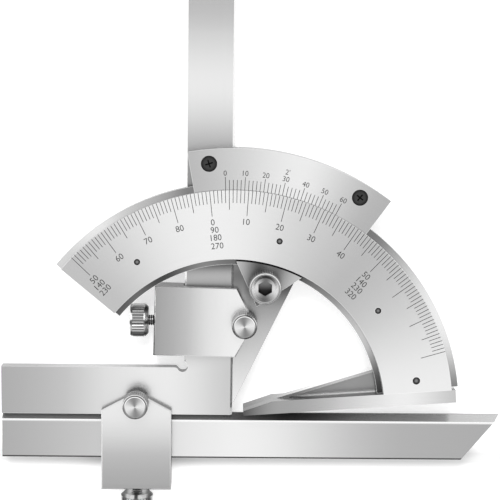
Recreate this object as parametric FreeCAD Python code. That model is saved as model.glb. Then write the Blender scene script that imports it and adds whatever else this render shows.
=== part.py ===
import FreeCAD, Part
import math
import os

V = FreeCAD.Vector
Z_AXIS = V(0, 0, 1)
TOLERANCE = 0.001

# Millimetres. The tool lies on its back, dial up: +X runs right along the blade, +Y up the square's
# long arm, +Z out of the dial. The origin is the centre of the dial's arc, on the resting plane.
# Angles named _deg are clockwise from +Y, as on the dial, unless the name says otherwise.

# Levels, from the resting plane up
back_z = 5.0
square_thickness = 4.0
layer_gap = 0.05
gear_thickness = 1.9
ring_thickness = 4.0
flange_drop = 1.1
ledge_drop = 2.2
front_z = back_z + square_thickness
ring_back_z = front_z + 2 * layer_gap + gear_thickness
ring_front_z = ring_back_z + ring_thickness
flange_z = ring_front_z - flange_drop
ledge_z = ring_front_z - ledge_drop

# Setting shown on the dial, and where its zero lies
reading_deg = 4.1
zero_deg = -2.2

# Main scale ring
face_outer_r = 66.3
face_inner_r = 45.8
flange_width = 2.1
ledge_width = 1.8
flange_r = face_outer_r + flange_width
ledge_r = face_inner_r - ledge_width
scale_start_deg = -44.1
running_gap = 0.1

# Base rule, drawn with its measuring face along X
measuring_drop = 1.85
base_left_x = 3.3
base_right_x = flange_r - 0.9
base_tip_height = 1.4
base_bar_height = 3.85
base_slant_x = 12.2
base_bar_back_z = 5.2
web_slope_deg = 13.4
web_right_x = face_outer_r - 2.3
web_thickness = 3.5
web_rim = 0.8
web_recess = 1.2
flange_end_gap = 0.8

# Sector gear on the ring's back, and its pinion
gear_module = 0.6
gear_inset = 9.3
gear_full_teeth = 2 * round((face_outer_r - gear_inset) / gear_module)
gear_teeth = 52
gear_start_deg = 22.0
pinion_teeth = 12
gear_rim = 5.7
gear_addendum = 0.65
pinion_addendum = 0.9
gear_dedendum = 1.2
tooth_thinning = 0.08
pressure_deg = 20.0
pinion_deg = 13.5
pinion_shaft_r = 1.25
bush_outer_r = 2.2
shaft_gap = 0.05
knob_boss_r = 2.6
adjust_knob_r = 6.0
adjust_knob_height = 4.0
shaft_end_z = 1.0

# Sector plate and vernier plate
sector_edge_deg = 26.0
sector_tip = V(layer_gap, 1.0, 0)
sector_tip_width = 0.4
head_gap = 0.4
head_depth = 9.9
head_inner_r = flange_r + head_gap
head_outer_r = head_inner_r + head_depth
head_start_deg = -10.2
head_end_deg = 36.1
pad_gap_r = 0.3
inner_pad_r = ledge_r + pad_gap_r
outer_pad_gap = 0.8
pad_start_deg = 1.0
pad_end_deg = 24.5
pocket_gap = 0.4
hook_reach = 1.5
hook_thickness = 1.0
hook_low_y = 12.0
vernier_gap = 0.05
screw_inset = 4.3
screw_r_place = head_outer_r - screw_inset
screw_degs = (-5.8, 29.9)
screw_r = 1.25
screw_head_r = 2.4
screw_head_depth = 1.3
screw_reach = 1.6
cross_length = 2.4
cross_width = 0.5
cross_depth = 0.8
cross_turn_degs = (18, 51)

# Square and blade
arm_width = 14.6
short_arm_length = 70.1
long_arm_length = 140.0
square_drop = 2.85
arm_bevel = 0.6
relief_offset_x = 0.55
relief_offset_y = 0.25
relief_x = -arm_width - relief_offset_x
relief_y = arm_width - square_drop + relief_offset_y
relief_r = 1.65
relief_lead_r = 1.2
blade_length = 152.2
blade_width = 13.8
blade_thickness = 3.0
blade_bevel_height = 1.9
blade_bevel_depth = 2.2
blade_end_deg = 40.0

# Clamp blocks, drawn with the lock screw on the Z axis and the tip towards +X
block_width = 21.2
block_tail = 27.15
block_nose = 3.15
block_roof = 5.6
block_plate = 2.5
block_wall_x = -18.4
block_lip = 3.0
block_lip_thickness = 1.3
block_lip_gap = 0.1
block_chamfer = 0.35
upper_lock_x = 3.45
upper_lock_y = 25.95
upper_lean_deg = 1.2
lower_lock_x = -29.0
lower_lock_y = 1.35
upper_lock = V(upper_lock_x, upper_lock_y, 0)
lower_lock = V(lower_lock_x, lower_lock_y, 0)

# Screws, knobs and pads
thread_r = 1.45
thread_gap = 0.05
lock_knob_r = 3.85
lock_knob_height = 6.2
side_knob_r = 5.05
side_knob_length = 5.4
side_neck = 1.9
pad_length = 8.0
pad_height = 3.0
pad_thickness = 1.2
pad_gap = 0.15
pad_rest_gap = 0.1
pad_travel = 1.0
knurl_depth = 0.22
side_knurl_teeth = 32
lock_knurl_teeth = 36
brake_knurl_teeth = 40
adjust_knurl_teeth = 24
no_rim = (0, 0)
side_outer_rim = (0.75, 0.25)
side_inner_rim = (1.2, 0.85)
lock_rim = (0.7, 0.5)
brake_rim = (0.7, 0.4)
adjust_rim = (0.7, 0.5)

# Brake
brake_knob_deg = 13.8
brake_edge_gap = 0.4
brake_outer_r = face_inner_r - brake_edge_gap
brake_knob_inset = 6.3
brake_knob_place_r = brake_outer_r - brake_knob_inset
brake_start_deg = 0.9
brake_end_deg = 26.8
brake_heel_x = 7.0
brake_heel_y = 31.6
brake_heel = V(brake_heel_x, brake_heel_y, 0)
brake_heel_r = 1.6
brake_heel_inset = 3.8
brake_plate_thickness = 2.0
brake_knob_r = 4.9
brake_knob_height = 6.4
brake_stud_r = 1.95
hex_socket_flats = 4.0
hex_socket_depth = 2.6
hex_socket_wall = 1.0
brake_dish_depth = 1.1
brake_dish_r = 4.1

# Pins and small screws of the dial
gear_pin_r = 0.95
base_pin_r = 1.13
pin_recess = 0.15
gear_pin_inset = 3.23
gear_pin_degs = (-26.3, 21.1, 60.9)
base_pin_r_place = (face_inner_r + face_outer_r) / 2
base_pin_deg = 86.5
base_screw_spread = 4.45
base_screw_y = 6.6
base_screw_places = (
    V(base_pin_r_place - base_screw_spread, base_screw_y, 0),
    V(base_pin_r_place + base_screw_spread, base_screw_y, 0),
)
set_screw_r = 1.0


def polar(radius, deg):
    """A point at a radius, at an angle clockwise from +Y."""
    return V(radius * math.sin(math.radians(deg)), radius * math.cos(math.radians(deg)), 0)


def prism(points, low_z, high_z):
    """A straight-sided solid on a closed outline."""
    outline = Part.makePolygon([V(p.x, p.y, low_z) for p in points + points[:1]])
    return Part.Face(outline).extrude(V(0, 0, high_z - low_z))


def disc(radius, low_z, high_z, centre=V(0, 0, 0)):
    """An upright cylinder between two levels."""
    return Part.makeCylinder(radius, high_z - low_z, V(centre.x, centre.y, low_z))


def arc_band(inner_r, outer_r, start_deg, end_deg, low_z, high_z):
    """A flat piece of a ring about the dial's centre."""
    middle = (start_deg + end_deg) / 2
    outer = Part.Arc(polar(outer_r, start_deg), polar(outer_r, middle), polar(outer_r, end_deg))
    inner = Part.Arc(polar(inner_r, end_deg), polar(inner_r, middle), polar(inner_r, start_deg))
    ends = [
        Part.makeLine(polar(outer_r, end_deg), polar(inner_r, end_deg)),
        Part.makeLine(polar(inner_r, start_deg), polar(outer_r, start_deg)),
    ]
    wire = Part.Wire([outer.toShape(), ends[0], inner.toShape(), ends[1]])
    band = Part.Face(wire).extrude(V(0, 0, high_z - low_z))
    band.translate(V(0, 0, low_z))
    return band


def facet_rim(radius, levels, sides):
    """A smooth rim as a many-sided turned piece, from its (radius inset, z) levels."""
    rings = []
    for inset, z in levels:
        points = [polar(radius - inset, 360 * i / sides) for i in range(sides)]
        rings.append(Part.makePolygon([V(p.x, p.y, z) for p in points + points[:1]]))
    return Part.makeLoft(rings, True, True)


def knurled_head(radius, height, teeth, low_rim, high_rim):
    """A knob's head standing on z = 0: a knurled band between smooth rims with chamfered edges."""
    points = []
    for i in range(teeth):
        points.append(polar(radius, 360 * i / teeth))
        points.append(polar(radius - knurl_depth, 360 * (i + 0.5) / teeth))
    rim_r = radius - knurl_depth / 2
    low_length, low_chamfer = low_rim
    high_length, high_chamfer = high_rim
    head = prism(points, low_length, height - high_length)
    if low_length > 0:
        levels = [(low_chamfer, 0), (0, low_chamfer), (0, low_length)]
        head = head.fuse(facet_rim(rim_r, levels, teeth))
    levels = [(0, height - high_length), (0, height - high_chamfer), (high_chamfer, height)]
    return head.fuse(facet_rim(rim_r, levels, teeth)).removeSplitter()


def chamfer_front(solid, level, size):
    """Break the outer edges that lie in the front face at a level."""
    edges = []
    for edge in solid.Edges:
        flat = edge.BoundBox.ZLength < TOLERANCE
        if flat and abs(edge.BoundBox.ZMax - level) < TOLERANCE:
            edges.append(edge)
    return solid.makeChamfer(size, edges)


def dial_piece(solid):
    """Turn a piece that is drawn at zero to the angle that the dial reads."""
    solid.rotate(V(0, 0, 0), Z_AXIS, reading_deg)
    return solid


def main_scale():
    """Ring with its graduated face, an outer flange and an inner ledge, both stepped back."""
    section = [
        V(ledge_r, 0, ring_back_z), V(flange_r, 0, ring_back_z), V(flange_r, 0, flange_z),
        V(face_outer_r, 0, flange_z), V(face_outer_r, 0, ring_front_z),
        V(face_inner_r, 0, ring_front_z), V(face_inner_r, 0, ledge_z), V(ledge_r, 0, ledge_z),
    ]
    face = Part.Face(Part.makePolygon(section + section[:1]))
    sweep = 90 - (scale_start_deg + zero_deg)
    ring = face.revolve(V(0, 0, 0), Z_AXIS, sweep)
    seat_y = base_bar_height - measuring_drop
    wide = 2 * flange_r
    ring = ring.cut(Part.makeBox(wide, wide, wide, V(0, seat_y - wide, 0)))
    notch = Part.makeBox(wide, wide, wide, V(face_outer_r, seat_y + flange_end_gap - wide, 0))
    ring = ring.cut(notch)
    for place in gear_pin_places():
        ring = ring.cut(disc(gear_pin_r, 0, 2 * ring_front_z, place))
    ring = ring.cut(disc(base_pin_r, 0, 2 * ring_front_z, base_pin_place()))
    for place in base_screw_places:
        ring = ring.cut(disc(screw_r, 0, ring_back_z + screw_reach, place))
    return dial_piece(ring)


def gear_pin_places():
    """Centres of the pins that hold the sector gear, with the dial at zero."""
    radius = gear_root_r() - gear_pin_inset
    return [polar(radius, deg + zero_deg) for deg in gear_pin_degs]


def gear_pitch_r():
    """Pitch radius of the sector gear."""
    return gear_module * gear_full_teeth / 2


def gear_root_r():
    """Radius at the bottom of the sector gear's teeth."""
    return gear_pitch_r() - gear_dedendum * gear_module


def gear_tip_r():
    """Radius at the tips of the sector gear's teeth."""
    return gear_pitch_r() + gear_addendum * gear_module


def gear_inner_r():
    """Inner radius of the sector gear."""
    return gear_root_r() - gear_rim


def base_pin_place():
    """Centre of the pin that holds the base rule, with the dial at zero."""
    return polar(base_pin_r_place, base_pin_deg + zero_deg)


def pins(places, radius, low_z):
    """Round pins that end a little below the dial's face."""
    shapes = [disc(radius, low_z, ring_front_z - pin_recess, place) for place in places]
    return dial_piece(Part.makeCompound(shapes))


def base_rule():
    """Deep bar with the measuring face below, and a thin web with a sunk field behind the ring."""
    low_y = -measuring_drop
    top_y = low_y + base_bar_height
    tip_y = low_y + base_tip_height
    bar = prism([
        V(base_left_x, low_y), V(base_right_x, low_y), V(base_right_x, top_y),
        V(base_slant_x, top_y), V(base_left_x, tip_y),
    ], base_bar_back_z, ring_front_z)
    slope = math.tan(math.radians(web_slope_deg))
    web_top_y = tip_y + slope * (web_right_x - base_left_x)
    web_back_z = ring_back_z - web_thickness
    web = prism([
        V(base_left_x, low_y), V(web_right_x, low_y), V(web_right_x, web_top_y),
        V(base_left_x, tip_y),
    ], web_back_z, ring_back_z)
    rule = bar.fuse(web).removeSplitter()
    rim_drop = web_rim / math.cos(math.radians(web_slope_deg))
    field_right_x = (ledge_r + face_inner_r) / 2
    field_left_x = base_left_x + (base_bar_height - base_tip_height + rim_drop) / slope
    field_top_y = tip_y + slope * (field_right_x - base_left_x) - rim_drop
    field = prism([
        V(field_left_x, top_y), V(field_right_x, top_y), V(field_right_x, field_top_y),
    ], ring_back_z - web_recess, ring_back_z)
    rule = rule.cut(field)
    rule = rule.cut(disc(base_pin_r, web_back_z, ring_back_z, base_pin_place()))
    for place in base_screw_places:
        rule = rule.cut(rear_screw(place, web_back_z, ring_back_z + screw_reach))
    return dial_piece(rule)


def rear_screw(place, low_z, high_z):
    """Countersunk screw whose head lies flush with a back face."""
    head = Part.makeCone(screw_head_r, screw_r, screw_head_depth, V(place.x, place.y, low_z))
    return head.fuse(disc(screw_r, low_z, high_z, place)).removeSplitter()


def base_screws():
    """Screws through the base rule's web into the ring."""
    web_back_z = ring_back_z - web_thickness
    shapes = [rear_screw(p, web_back_z, ring_back_z + screw_reach) for p in base_screw_places]
    return dial_piece(Part.makeCompound(shapes))


def involute_half_angle(radius, pitch_r, half_thickness):
    """Half the angle that a tooth fills at a radius, on involute flanks."""
    base_r = pitch_r * math.cos(math.radians(pressure_deg))
    at = math.acos(min(1.0, base_r / radius))
    pitch = math.radians(pressure_deg)
    return half_thickness / pitch_r + (math.tan(pitch) - pitch) - (math.tan(at) - at)


def tooth_points(centre_angle, radii, pitch_r):
    """One tooth's outline, up one flank and down the other."""
    half = math.pi * gear_module / 4 - tooth_thinning / 2
    points = []
    for side in (-1, 1):
        for radius in radii if side < 0 else reversed(radii):
            angle = centre_angle + side * involute_half_angle(radius, pitch_r, half)
            points.append(V(radius * math.cos(angle), radius * math.sin(angle), 0))
    return points


def sector_gear():
    """Toothed arc behind the ring, its teeth outwards, in mesh at the angle shown."""
    pitch_r = gear_pitch_r()
    root_r = gear_root_r()
    tip_r = gear_tip_r()
    inner_r = gear_inner_r()
    step = 2 * math.pi / gear_full_teeth
    mesh = math.radians(90 - pinion_deg - reading_deg)
    first = mesh - step * round((mesh - math.radians(gear_start_deg)) / step)
    outline = []
    for i in range(gear_teeth):
        outline += tooth_points(first + i * step, [root_r, tip_r], pitch_r)
    wires = [Part.makePolygon(outline)]
    start = outline[0]
    end = outline[-1]
    inner_end = V(end.x, end.y, 0) * (inner_r / end.Length)
    inner_start = V(start.x, start.y, 0) * (inner_r / start.Length)
    middle = inner_start + inner_end
    middle = middle * (inner_r / middle.Length)
    wires.append(Part.makeLine(end, inner_end))
    wires.append(Part.Arc(inner_end, middle, inner_start).toShape())
    wires.append(Part.makeLine(inner_start, start))
    edges = [edge for wire in wires for edge in wire.Edges]
    gear = Part.Face(Part.Wire(edges)).extrude(V(0, 0, gear_thickness))
    gear.translate(V(0, 0, ring_back_z - gear_thickness))
    for place in gear_pin_places():
        gear = gear.cut(disc(gear_pin_r, 0, ring_back_z, place))
    return dial_piece(gear)


def pinion_place():
    """Centre of the pinion, outside the sector gear."""
    distance = gear_module * (gear_full_teeth + pinion_teeth) / 2
    return polar(distance, pinion_deg)


def pinion_tip_r():
    """Outer radius of the pinion's teeth."""
    return gear_module * (pinion_teeth / 2 + pinion_addendum)


def pinion_shaft():
    """Small gear and its shaft in one piece, with a gap between teeth on the line of centres."""
    pitch_r = gear_module * pinion_teeth / 2
    root_r = pitch_r - gear_module
    base_r = pitch_r * math.cos(math.radians(pressure_deg))
    tip_r = pinion_tip_r()
    radii = [root_r, base_r, (base_r + tip_r) / 2, tip_r]
    step = 2 * math.pi / pinion_teeth
    towards_dial = math.radians(270 - pinion_deg)
    outline = []
    for i in range(pinion_teeth):
        outline += tooth_points(towards_dial + (i + 0.5) * step, radii, pitch_r)
    gear_low_z = front_z + 2 * layer_gap
    gear = prism(outline, gear_low_z, gear_low_z + gear_thickness - layer_gap)
    shaft = disc(pinion_shaft_r, shaft_end_z, gear_low_z)
    shape = gear.fuse(shaft).removeSplitter()
    shape.translate(pinion_place())
    return shape


def pinion_bush():
    """Flanged bush that carries the pinion's shaft in the sector plate."""
    bush = disc(bush_outer_r, back_z, front_z + layer_gap, pinion_place())
    bore = pinion_shaft_r + shaft_gap
    return bush.cut(disc(bore, back_z, front_z + layer_gap, pinion_place()))


def adjust_knob():
    """Knurled thumb knob on the back, which turns the pinion."""
    knob = knurled_head(adjust_knob_r, adjust_knob_height, adjust_knurl_teeth, adjust_rim, adjust_rim)
    boss_top_z = back_z - 2 * layer_gap
    knob = knob.fuse(disc(knob_boss_r, shaft_end_z, boss_top_z)).removeSplitter()
    knob = knob.cut(disc(pinion_shaft_r, shaft_end_z, boss_top_z))
    knob = knob.cut(set_screw_blank())
    knob.translate(pinion_place())
    return knob


def set_screw_blank():
    """Radial screw from the knob's rim to the flat of the shaft, about the shaft's own axis."""
    reach = adjust_knob_r - 2 * knurl_depth - pinion_shaft_r
    start = V(0, -pinion_shaft_r - reach, adjust_knob_height / 2)
    blank = Part.makeCylinder(set_screw_r, reach, start, V(0, 1, 0))
    return blank.cut(disc(pinion_shaft_r, 0, back_z))


def knob_set_screw():
    """Screw that fixes the thumb knob to the pinion's shaft."""
    screw = set_screw_blank()
    screw.translate(pinion_place())
    return screw


def sector_plate():
    """Fan-shaped plate from the vertex to the vernier, with guide pads for the ring and gear."""
    direction = polar(1, sector_edge_deg)
    edge_top = sector_tip + direction * (head_inner_r - sector_tip.y)
    edge_deg = math.degrees(math.atan2(edge_top.x, edge_top.y))
    left_top = V(sector_tip.x, math.sqrt(head_outer_r ** 2 - sector_tip.x ** 2), 0)
    low_edge = sector_tip + V(sector_tip_width, 0, 0)
    fan = prism([sector_tip, low_edge, edge_top, polar(head_outer_r, edge_deg), left_top],
                back_z, front_z)
    pad_top_z = ring_back_z - layer_gap
    pieces = [
        arc_band(head_inner_r, head_outer_r, pad_start_deg, head_end_deg, back_z, front_z),
        arc_band(head_inner_r, head_outer_r, pad_start_deg, head_end_deg, front_z, pad_top_z),
        arc_band(head_inner_r, head_outer_r, head_start_deg, head_end_deg,
                 front_z + layer_gap, pad_top_z),
        arc_band(inner_pad_r, gear_inner_r() - running_gap, pad_start_deg, pad_end_deg,
                 front_z, pad_top_z),
        outer_pad(pad_top_z),
        arm_hook(),
    ]
    fan = fan.fuse(pieces).removeSplitter()
    fan = fan.cut(disc(bush_outer_r, back_z, front_z, pinion_place()))
    fan = fan.cut(disc(brake_stud_r + thread_gap, 0, ring_front_z, brake_place()))
    fan = fan.cut(disc(thread_r + thread_gap, 0, ring_front_z, upper_lock))
    for deg in screw_degs:
        fan = fan.cut(disc(screw_r, pad_top_z - screw_reach, pad_top_z, polar(screw_r_place, deg)))
    return fan


def outer_pad(pad_top_z):
    """Guide pad under the ring's outer part, with a round pocket for the pinion."""
    inner_r = gear_tip_r() + outer_pad_gap
    pad = arc_band(inner_r, head_inner_r, pad_start_deg, pad_end_deg, front_z, pad_top_z)
    return pad.cut(disc(pinion_tip_r() + pocket_gap, front_z, pad_top_z, pinion_place()))


def arm_hook():
    """Step along the straight edge's back, which keeps the square's long arm from falling out."""
    length = head_inner_r - hook_low_y
    low_z = back_z - layer_gap - hook_thickness
    behind_arm = Part.makeBox(2 * hook_reach, length, hook_thickness,
                              V(sector_tip.x - hook_reach, hook_low_y, low_z))
    root = Part.makeBox(hook_reach, length, hook_thickness + layer_gap,
                        V(sector_tip.x, hook_low_y, low_z))
    return behind_arm.fuse(root)


def vernier_plate():
    """Arc plate with the vernier, its thin lip lying over the ring's flange."""
    low_z = ring_back_z - layer_gap
    lip_z = flange_z + layer_gap
    inner_r = flange_r + running_gap
    plate = arc_band(inner_r, head_outer_r, head_start_deg, head_end_deg, low_z, ring_front_z)
    lip = arc_band(face_outer_r + vernier_gap, inner_r, head_start_deg, head_end_deg,
                   lip_z, ring_front_z)
    plate = plate.fuse(lip).removeSplitter()
    for deg in screw_degs:
        plate = plate.cut(vernier_screw(deg, low_z))
    return plate


def vernier_screw(deg, low_z):
    """Countersunk screw with its head flush with the vernier's face."""
    place = polar(screw_r_place, deg)
    head_z = ring_front_z - screw_head_depth
    head = Part.makeCone(screw_r, screw_head_r, screw_head_depth, V(place.x, place.y, head_z))
    return head.fuse(disc(screw_r, low_z, ring_front_z, place)).removeSplitter()


def vernier_screws():
    """The two screws that hold the vernier plate, each with a cross recess."""
    shapes = []
    for deg, cross_turn in zip(screw_degs, cross_turn_degs):
        screw = vernier_screw(deg, ring_back_z - layer_gap - screw_reach)
        place = polar(screw_r_place, deg)
        for turn in (0, 90):
            corner = V(-cross_length / 2, -cross_width / 2, ring_front_z - cross_depth)
            slot = Part.makeBox(cross_length, cross_width, cross_depth, corner)
            slot.rotate(V(0, 0, 0), Z_AXIS, cross_turn + turn)
            slot.translate(place)
            screw = screw.cut(slot)
        shapes.append(screw)
    return Part.makeCompound(shapes)


def brake_place():
    """Axis of the brake's stud."""
    return polar(brake_knob_place_r, brake_knob_deg)


def brake_plate_low_z():
    """Underside of the brake plate, which bears on the ring's inner ledge."""
    return ledge_z + layer_gap


def brake_plate():
    """Three-cornered clamp plate: its curved edge on the ring's ledge, its heel on the sector."""
    low_z = brake_plate_low_z()
    middle = (brake_start_deg + brake_end_deg) / 2
    left = polar(brake_outer_r, brake_start_deg)
    right = polar(brake_outer_r, brake_end_deg)
    top = Part.Arc(left, polar(brake_outer_r, middle), right).toShape()
    sides = [Part.makeLine(right, brake_heel), Part.makeLine(brake_heel, left)]
    plate = Part.Face(Part.Wire([top] + sides)).extrude(V(0, 0, brake_plate_thickness))
    plate.translate(V(0, 0, low_z))
    inward = (brake_place() - brake_heel).normalize()
    heel_centre = brake_heel + inward * brake_heel_inset
    heel = disc(brake_heel_r, front_z + layer_gap, low_z, heel_centre)
    plate = plate.fuse(heel).removeSplitter()
    return plate.cut(disc(brake_stud_r + shaft_gap, 0, 2 * ring_front_z, brake_place()))


def brake_stud():
    """Threaded stud of the brake knob, with a hexagon socket in its head."""
    knob_low_z = brake_plate_low_z() + brake_plate_thickness + layer_gap
    top_z = knob_low_z + brake_knob_height - brake_dish_depth
    head_r = hex_socket_flats / 2 + hex_socket_wall
    stud = disc(brake_stud_r, back_z, knob_low_z).fuse(disc(head_r, knob_low_z, top_z))
    stud = stud.removeSplitter().cut(hexagon(hex_socket_flats, top_z - hex_socket_depth, top_z))
    stud.translate(brake_place())
    return stud


def hexagon(flats, low_z, high_z):
    """A six-sided prism about Z."""
    corner = flats / 2 / math.cos(math.pi / 6)
    points = [polar(corner, 60 * i) for i in range(6)]
    return prism(points, low_z, high_z)


def brake_knob():
    """Knurled knob with a dished face, pressed on the stud's head."""
    knob_low_z = brake_plate_low_z() + brake_plate_thickness + layer_gap
    head_r = hex_socket_flats / 2 + hex_socket_wall
    knob = knurled_head(brake_knob_r, brake_knob_height, brake_knurl_teeth, no_rim, brake_rim)
    dish = Part.makeCone(head_r, brake_dish_r, brake_dish_depth,
                         V(0, 0, brake_knob_height - brake_dish_depth))
    knob = knob.cut(dish).cut(disc(head_r, 0, brake_knob_height))
    knob.translate(brake_place() + V(0, 0, knob_low_z))
    return knob


def square():
    """Two arms at a right angle, with a round relief in the inner corner."""
    low_y = -square_drop
    outline = [
        V(-short_arm_length, low_y), V(0, low_y), V(0, low_y + long_arm_length),
        V(-arm_width, low_y + long_arm_length), V(-arm_width, low_y + arm_width),
        V(-short_arm_length, low_y + arm_width),
    ]
    body = prism(outline, back_z, front_z)
    body = body.cut(disc(relief_r, back_z, front_z, V(relief_x, relief_y, 0)))
    body = body.makeFillet(relief_lead_r, relief_lead_edges(body))
    body = body.cut(edge_wedge(0, -1)).cut(edge_wedge(-arm_width, 1))
    return body.cut(disc(thread_r + thread_gap, back_z, front_z, lower_lock))


def relief_lead_edges(body):
    """The upright edge where the short arm's top runs into the relief."""
    edges = []
    for edge in body.Edges:
        upright = abs(edge.BoundBox.ZLength - square_thickness) < TOLERANCE
        ahead = relief_x - edge.CenterOfMass.x
        on_top = abs(edge.CenterOfMass.y - (arm_width - square_drop)) < TOLERANCE
        if upright and on_top and 0 < ahead <= relief_r:
            edges.append(edge)
    return edges


def edge_wedge(x, inward):
    """Triangular cutter along one front edge of the long arm."""
    low_y = relief_y + relief_r if inward > 0 else -square_drop
    corner = [
        V(x, low_y, front_z), V(x + inward * arm_bevel, low_y, front_z),
        V(x, low_y, front_z - arm_bevel),
    ]
    face = Part.Face(Part.makePolygon(corner + corner[:1]))
    return face.extrude(V(0, long_arm_length, 0))


def blade():
    """Straight rule with a bevelled working edge and one end cut on the slant."""
    top_y = -square_drop
    low_y = top_y - blade_width
    high_z = back_z + blade_thickness
    section = [
        V(0, top_y, back_z), V(0, top_y, high_z - blade_bevel_depth),
        V(0, top_y - blade_bevel_height, high_z), V(0, low_y, high_z), V(0, low_y, back_z),
    ]
    bar = Part.Face(Part.makePolygon(section + section[:1])).extrude(V(blade_length, 0, 0))
    bar.translate(V(-short_arm_length, 0, 0))
    tip_x = blade_length - short_arm_length
    cut_back = blade_width * math.tan(math.radians(blade_end_deg))
    corner = prism([V(tip_x, top_y), V(tip_x + cut_back, low_y), V(tip_x - cut_back, low_y)],
                   back_z, high_z)
    return bar.cut(corner)


def block_outline():
    """The pointed outline of a clamp block, as a person sees it from the front."""
    half = block_width / 2
    shoulder = block_nose - block_roof
    return [V(-block_tail, -half), V(shoulder, -half), V(block_nose, 0), V(shoulder, half),
            V(-block_tail, half)]


def clamp_block(place, turn_deg, lean_deg):
    """Front plate, end wall and rear lip in one piece, round the rule that it clamps."""
    plate_z = front_z + layer_gap
    high_z = plate_z + block_plate
    lip_top_z = back_z - block_lip_gap
    low_z = lip_top_z - block_lip_thickness
    shape = prism(block_outline(), low_z, high_z)
    shape = chamfer_front(shape, high_z, block_chamfer)
    shape.rotate(V(0, 0, 0), Z_AXIS, -lean_deg)
    reach = 2 * block_tail
    shape = shape.cut(Part.makeBox(reach, reach, plate_z - lip_top_z,
                                   V(block_wall_x, -block_tail, lip_top_z)))
    shape = shape.cut(Part.makeBox(reach, reach, lip_top_z - low_z,
                                   V(block_wall_x + block_lip, -block_tail, low_z)))
    shape = shape.cut(disc(thread_r + thread_gap, low_z, high_z))
    pocket_depth = pad_thickness + pad_travel + pad_rest_gap + pad_gap
    pocket_low = V(block_wall_x - pocket_depth, -pad_length / 2 - pad_gap,
                   screw_z() - pad_height / 2 - pad_gap)
    shape = shape.cut(Part.makeBox(pocket_depth, pad_length + 2 * pad_gap,
                                   pad_height + 2 * pad_gap, pocket_low))
    bore_start = V(block_wall_x - block_tail, 0, screw_z())
    shape = shape.cut(Part.makeCylinder(thread_r + thread_gap, block_tail, bore_start, V(1, 0, 0)))
    shape.rotate(V(0, 0, 0), Z_AXIS, turn_deg)
    shape.translate(place)
    return shape


def screw_z():
    """Level of the side screws' axes, halfway through the rules."""
    return back_z + square_thickness / 2


def pressure_pad(place, turn_deg, face_x):
    """Small plate between a side screw and the rule's edge."""
    pad = Part.makeBox(pad_thickness, pad_length, pad_height,
                       V(face_x - pad_thickness, -pad_length / 2, screw_z() - pad_height / 2))
    pad.rotate(V(0, 0, 0), Z_AXIS, turn_deg)
    pad.translate(place)
    return pad


def side_knob(place, turn_deg, face_x):
    """Thumb screw whose end bears on the pressure pad, with a coarse knurled head."""
    head_end = -block_tail - side_neck
    head = knurled_head(side_knob_r, side_knob_length, side_knurl_teeth, side_inner_rim,
                        side_outer_rim)
    head.rotate(V(0, 0, 0), V(0, 1, 0), -90)
    head.translate(V(head_end, 0, screw_z()))
    tip_x = face_x - pad_thickness
    shank = Part.makeCylinder(thread_r, tip_x - head_end, V(head_end, 0, screw_z()), V(1, 0, 0))
    screw = head.fuse(shank).removeSplitter()
    screw.rotate(V(0, 0, 0), Z_AXIS, turn_deg)
    screw.translate(place)
    return screw


def lock_knob(place):
    """Thumb screw through a clamp block's front plate into the piece behind it."""
    seat_z = front_z + layer_gap + block_plate + layer_gap
    head = knurled_head(lock_knob_r, lock_knob_height, lock_knurl_teeth, no_rim, lock_rim)
    head.translate(V(0, 0, seat_z))
    screw = head.fuse(disc(thread_r, back_z, seat_z)).removeSplitter()
    screw.translate(place)
    return screw


def upper_pad_x():
    """Where the upper pad's face lies, just off the long arm's edge, in the block's direction."""
    return -upper_lock.x - arm_width - pad_rest_gap


def lower_pad_x():
    """Where the lower pad's face lies, just off the blade's lower edge, in the block's direction."""
    return -lower_lock.y - square_drop - blade_width - pad_rest_gap


def build():
    """Every sub-part, by name."""
    return {
        "sector_plate": sector_plate(),
        "vernier_plate": vernier_plate(),
        "vernier_screws": vernier_screws(),
        "pinion_bush": pinion_bush(),
        "main_scale": main_scale(),
        "sector_gear": sector_gear(),
        "gear_pins": pins(gear_pin_places(), gear_pin_r, ring_back_z - gear_thickness),
        "base_rule": base_rule(),
        "base_pin": pins([base_pin_place()], base_pin_r, ring_back_z - web_thickness),
        "base_screws": base_screws(),
        "pinion_shaft": pinion_shaft(),
        "adjust_knob": adjust_knob(),
        "knob_set_screw": knob_set_screw(),
        "brake_plate": brake_plate(),
        "brake_stud": brake_stud(),
        "brake_knob": brake_knob(),
        "square": square(),
        "blade": blade(),
        "upper_clamp_block": clamp_block(upper_lock, 0, upper_lean_deg),
        "upper_pressure_pad": pressure_pad(upper_lock, 0, upper_pad_x()),
        "upper_side_knob": side_knob(upper_lock, 0, upper_pad_x()),
        "upper_lock_knob": lock_knob(upper_lock),
        "lower_clamp_block": clamp_block(lower_lock, 90, 0),
        "lower_pressure_pad": pressure_pad(lower_lock, 90, lower_pad_x()),
        "lower_side_knob": side_knob(lower_lock, 90, lower_pad_x()),
        "lower_lock_knob": lock_knob(lower_lock),
    }


os.makedirs("parts", exist_ok=True)
for name, shape in build().items():
    shape.exportStep("parts/" + name + ".step")
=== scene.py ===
import math

import bmesh
import bpy
from mathutils import Matrix, Vector


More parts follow.
